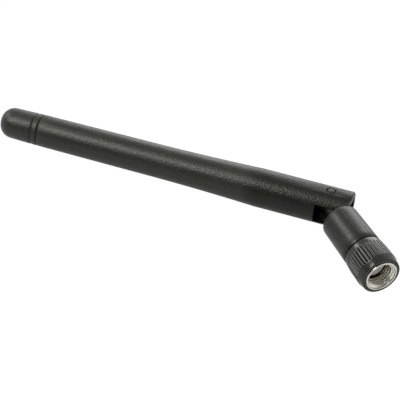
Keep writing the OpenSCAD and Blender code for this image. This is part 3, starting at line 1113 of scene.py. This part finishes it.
@dataclass
class KnuckleCable:
    """Stretch of cable bent along an arc at the knuckle.

    Args:
        pivot: Pivot point.
        bend: Angle between the elbow and the whip as it lies, in radians.
        start: Distance from the pivot at which the cable starts to bend.
        cable_r: Radius of the cable.
    """

    pivot: np.ndarray
    bend: float
    start: float = 4.0
    cable_r: float = 0.9

    def build(self, finishes: Finishes) -> None:
        """Tube of a round section carried along an arc.

        The arc's centre lies a bend radius beside the elbow's axis, and the point at share t of
        the arc stands at the angle t * bend from it. The two ends close in poles.
        """
        bend_r = self.start / math.tan(self.bend / 2)
        centre = self.pivot + np.array([self.start, -bend_r, 0.0])
        length_steps, round_steps = 40, 32
        turn = np.linspace(0.0, self.bend, length_steps)
        outwards = np.stack([-np.sin(turn), np.cos(turn), np.zeros_like(turn)], axis=-1)
        line = centre + bend_r * outwards
        line = np.vstack([line[:1], line, line[-1:]])
        outwards = np.vstack([outwards[:1], outwards, outwards[-1:]])
        angle = np.arange(round_steps)[:, None, None] * (2 * math.pi / round_steps)
        radius = np.full(length_steps + 2, self.cable_r)
        ring = np.cos(angle) * outwards + np.sin(angle) * np.array([0.0, 0.0, 1.0])
        points = line[None] + radius[None, :, None] * ring
        columns = length_steps + 2
        i = np.arange(round_steps)
        following = (i + 1) % round_steps
        first, last = round_steps * columns, round_steps * columns + 1
        fans = np.vstack([
            np.stack([np.full(round_steps, first), following * columns, i * columns], axis=-1),
            np.stack([np.full(round_steps, last), i * columns + columns - 1,
                      following * columns + columns - 1], axis=-1),
        ])
        everything = np.vstack([points.reshape(-1, 3), line[:1], line[-1:]])
        quads = grid_faces(round_steps, columns, wrap=False)
        cable = finish_mesh("knuckle_cable_skin", everything, quads, fans, 50.0)
        dress(cable, finishes.jacket)
        ends = [Vector(line[0] * MM), Vector(line[-1] * MM)]
        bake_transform(cable)
        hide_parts("knuckle_cable")
        LOG.info("knuckle: %s", cable.name)


@dataclass(frozen=True)
class SealedPieces:
    """Pieces inside the mouldings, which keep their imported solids."""

    finishes: Finishes

    def build(self) -> None:
        """Gives each of them its own finish."""
        f = self.finishes
        rows = {
            "cable_grommet": (f.rubber, "soft_rubber"),
            "whip_cable_jacket": (f.jacket, "cable_jacket"),
            "whip_cable_braid": (f.braid, "tinned_braid"),
            "whip_cable_insulation": (f.white, "white_insulation"),
            "whip_cable_core": (f.wire, "silvered_wire"),
            "dipole_sleeve": (f.brass, "brass"),
            "sleeve_solder": (f.solder, "solder"),
            "feed_bead": (f.white, "white_insulation"),
            "feed_shrink": (f.shrink, "shrink_tube"),
            "upper_radiator": (f.brass, "brass"),
            "lower_spacer": (f.foam, "spacer_foam"),
            "upper_spacer": (f.foam, "spacer_foam"),
            "retaining_ring": (f.spring, "spring_steel"),
            "gasket": (f.silicone, "silicone"),
            "crimp_ferrule": (f.nickel, "nickel"),
            "elbow_cable_jacket": (f.jacket, "cable_jacket"),
            "elbow_cable_braid": (f.braid, "tinned_braid"),
            "elbow_cable_insulation": (f.white, "white_insulation"),
            "elbow_cable_core": (f.wire, "silvered_wire"),
        }
        for node, (material, slot) in rows.items():
            dress(frame["nodes"][node], material)
        LOG.info("sealed pieces: %d", len(rows))


@dataclass
class Studio:
    """White table, soft lights and the camera.

    Args:
        eye: Place of the camera.
        right: Direction of the picture's right.
        up: Direction of the picture's top.
        focal: Focal length for a 36 mm wide sensor.
        floor_at: Height of the table.
        aim: Point that the lamps face.
    """

    eye: tuple[float, float, float] = (216.41, -153.79, 230.85)
    right: tuple[float, float, float] = (0.39781, 0.91491, 0.06843)
    up: tuple[float, float, float] = (-0.6051, 0.20557, 0.76915)
    focal: float = 141.71
    floor_at: float = -5.02
    aim: tuple[float, float, float] = (-38.0, -28.0, 0.0)

    def camera(self) -> None:
        """Camera at the photograph's place, with no shift."""
        data = bpy.data.cameras.new("camera")
        data.sensor_width = 36.0
        data.lens = self.focal
        data.clip_start = 0.01
        camera = bpy.data.objects.new("camera", data)
        bpy.context.scene.collection.objects.link(camera)
        right = unit(np.array(self.right))
        up = np.array(self.up)
        up = unit(up - (up @ right) * right)
        axes = Matrix(np.stack([right, up, np.cross(right, up)], axis=-1).tolist())
        camera.matrix_world = Matrix.Translation(Vector(self.eye) * MM) @ axes.to_4x4()
        bpy.context.scene.camera = camera

    def lamp(self, name: str, direction: tuple[float, float, float], distance: float, size: float,
             level: float) -> None:
        """Square soft light that faces the object.

        Args:
            name: Name of the lamp.
            direction: Direction from the object to the lamp.
            distance: Distance in millimetres.
            size: Side of the square in millimetres.
            level: Light that it throws on a facing white surface, as a share of plain white.
        """
        data = bpy.data.lights.new(name, "AREA")
        data.size = size * MM
        data.energy = level * (math.pi * distance * MM) ** 2
        lamp = bpy.data.objects.new(name, data)
        bpy.context.scene.collection.objects.link(lamp)
        way = Vector(direction).normalized()
        lamp.location = (Vector(self.aim) + way * distance) * MM
        lamp.rotation_euler = way.to_track_quat("Z", "Y").to_euler()

    def world(self, level: float, dim: float, ceiling: float) -> None:
        """White backdrop behind the object, and a dimmer room on the side of the camera.

        The backdrop's share of a direction is a smooth step of its dot product with the
        horizontal way from the camera to the object, and it falls off towards the ceiling.

        Args:
            level: Strength of the light that the surroundings throw on the object.
            dim: Strength of the room in reflections.
            ceiling: Share of the backdrop's light that is gone straight above.
        """
        world = bpy.data.worlds.new("surroundings")
        bpy.context.scene.world = world
        world.use_nodes = True
        shader = Shader(world.node_tree)
        path = shader.node("LightPath")
        way = unit(np.array([-self.eye[0], -self.eye[1], 0.0])).tolist()
        direction = shader.node("TexCoord").outputs["Generated"]
        dot = shader.node("VectorMath", {"operation": "DOT_PRODUCT"}, {0: direction, 1: way})
        height = shader.node("VectorMath", {"operation": "DOT_PRODUCT"}, {0: direction, 1: (0.0, 0.0, 1.0)})
        low = 1.0 - shader.value(height.outputs["Value"]).between(0.68, 0.9) * ceiling
        behind = shader.value(dot.outputs["Value"]).between(-0.75, 0.25)
        room = dim + behind * low * (1.0 - dim)
        seen = shader.value(path.outputs["Is Camera Ray"])
        mirrored = shader.value(path.outputs["Is Glossy Ray"])
        mirrored = mirrored.math("MAXIMUM", shader.value(path.outputs["Is Transmission Ray"]))
        strength = level + seen * (1.0 - level) + mirrored * (room - level)
        light = shader.node("Background", inputs={"Color": (1.0, 1.0, 1.0, 1.0), "Strength": strength})
        shader.node("OutputWorld", inputs={"Surface": light.outputs[0]})

    def floor(self, glow: float, mirror_glow: float) -> None:
        """White table with a faint shadow for the camera and its true shadow in reflections.

        Args:
            glow: Share of its own white in what the camera sees of it.
            mirror_glow: The same share in reflections.
        """
        reach = 2500.0
        corners = np.array([[-1, -1], [1, -1], [1, 1], [-1, 1]]) * reach
        points = np.hstack([corners, np.full((4, 1), self.floor_at)]) * MM
        mesh = bpy.data.meshes.new("table_top")
        mesh.from_pydata(points.tolist(), [], [[0, 1, 2, 3]])
        table = bpy.data.objects.new("table_top", mesh)
        bpy.context.scene.collection.objects.link(table)
        material, shader = surface_material("white_table")
        path = shader.node("LightPath")
        mirrored = shader.value(path.outputs["Is Glossy Ray"])
        mirrored = mirrored.math("MAXIMUM", shader.value(path.outputs["Is Transmission Ray"]))
        own_white = shader.value(path.outputs["Is Camera Ray"]) * glow + mirrored * mirror_glow
        paint = shader.node("BsdfDiffuse", inputs={"Color": (0.86, 0.86, 0.86, 1.0)})
        white = shader.node("Emission", inputs={"Color": (1.0, 1.0, 1.0, 1.0), "Strength": 1.06})
        mix = shader.node("MixShader", inputs={0: own_white, 1: paint.outputs[0], 2: white.outputs[0]})
        shader.node("OutputMaterial", inputs={"Surface": mix.outputs[0]})
        mesh.materials.append(material)

    def build(self) -> None:
        """Sets up the whole studio."""
        scene = bpy.context.scene
        scene.view_settings.view_transform = "Standard"
        self.camera()
        self.world(0.35, 0.28, 0.4)
        self.floor(0.93, 0.15)
        self.lamp("overhead_light", (0.065, -0.600, 0.797), 600.0, 270.0, 0.66)
        self.lamp("side_light", (-0.628, -0.50, 0.597), 600.0, 240.0, 0.25)
        self.lamp("back_light", (-0.74, 0.61, 0.32), 600.0, 380.0, 0.35)
        LOG.info("studio is ready")


def main() -> None:
    logging.basicConfig(level=logging.INFO, format="%(name)s: %(message)s")
    tilt = next(joint for joint in frame["joints"] if joint["name"] == "whip_tilt")
    pivot = np.array(tilt["pos_m"]) / MM
    bend = math.radians(-tilt["range_deg"][0])
    along = np.array([-math.cos(bend), -math.sin(bend), 0.0])
    open_side = np.array([math.sin(bend), -math.cos(bend), 0.0])
    plug_axis = Axis(np.zeros(3), np.array([1.0, 0.0, 0.0]), np.array([0.0, 1.0, 0.0]))
    pin_axis = Axis(pivot, np.array([0.0, 0.0, 1.0]), np.array([1.0, 0.0, 0.0]))
    knuckle = Sheen(tuple(pivot.tolist()), tuple(along.tolist()))
    finishes = Finishes.make(knuckle)
    Whip(Axis(pivot, along, open_side)).build(finishes)
    Elbow(pin_axis).build(finishes)
    Plug(plug_axis).build(finishes)
    Coupling(plug_axis).build(finishes)
    KnuckleCable(pivot, bend).build(finishes)
    SealedPieces(finishes).build()
    Studio().build()


if __name__ == "__main__":
    main()
